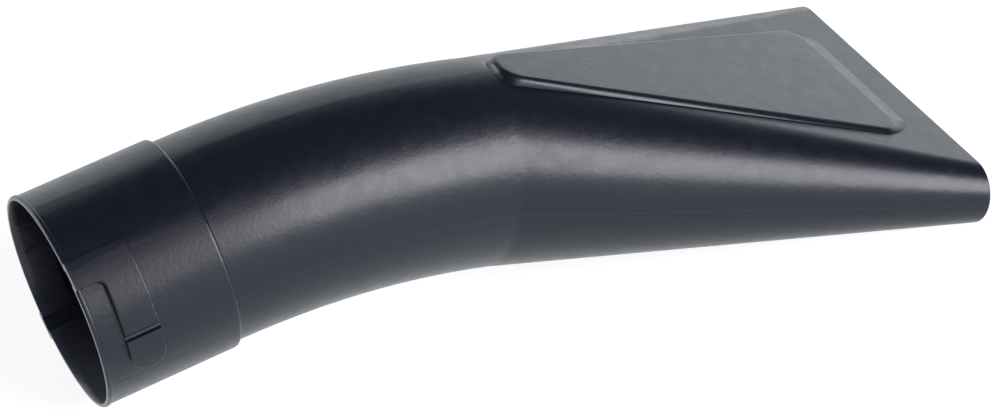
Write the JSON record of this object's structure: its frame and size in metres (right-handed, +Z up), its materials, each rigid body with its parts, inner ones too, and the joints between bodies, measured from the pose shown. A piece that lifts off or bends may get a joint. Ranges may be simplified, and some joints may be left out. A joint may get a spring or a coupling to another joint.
{
  "type": "leaf blower nozzle tube",
  "caption": "Curved black plastic blower nozzle with a bayonet socket collar, a gentle bend and a wide flat outlet slot under a raised top panel.",
  "frame": {"origin": "on the floor under the centre of the part as it lies at rest, on its collar's rim and the lower edge of its outlet", "axes": "+X along the length, from the inlet collar to the outlet slot; +Z up, through the raised panel's side"},
  "size_m": [0.3322, 0.1378, 0.0856],
  "materials": {
    "black_polyethylene": "satin blow-moulded polyethylene"
  },
  "bodies": {
    "root": {"nozzle_tube": "black_polyethylene"}
  },
  "joints": []
}
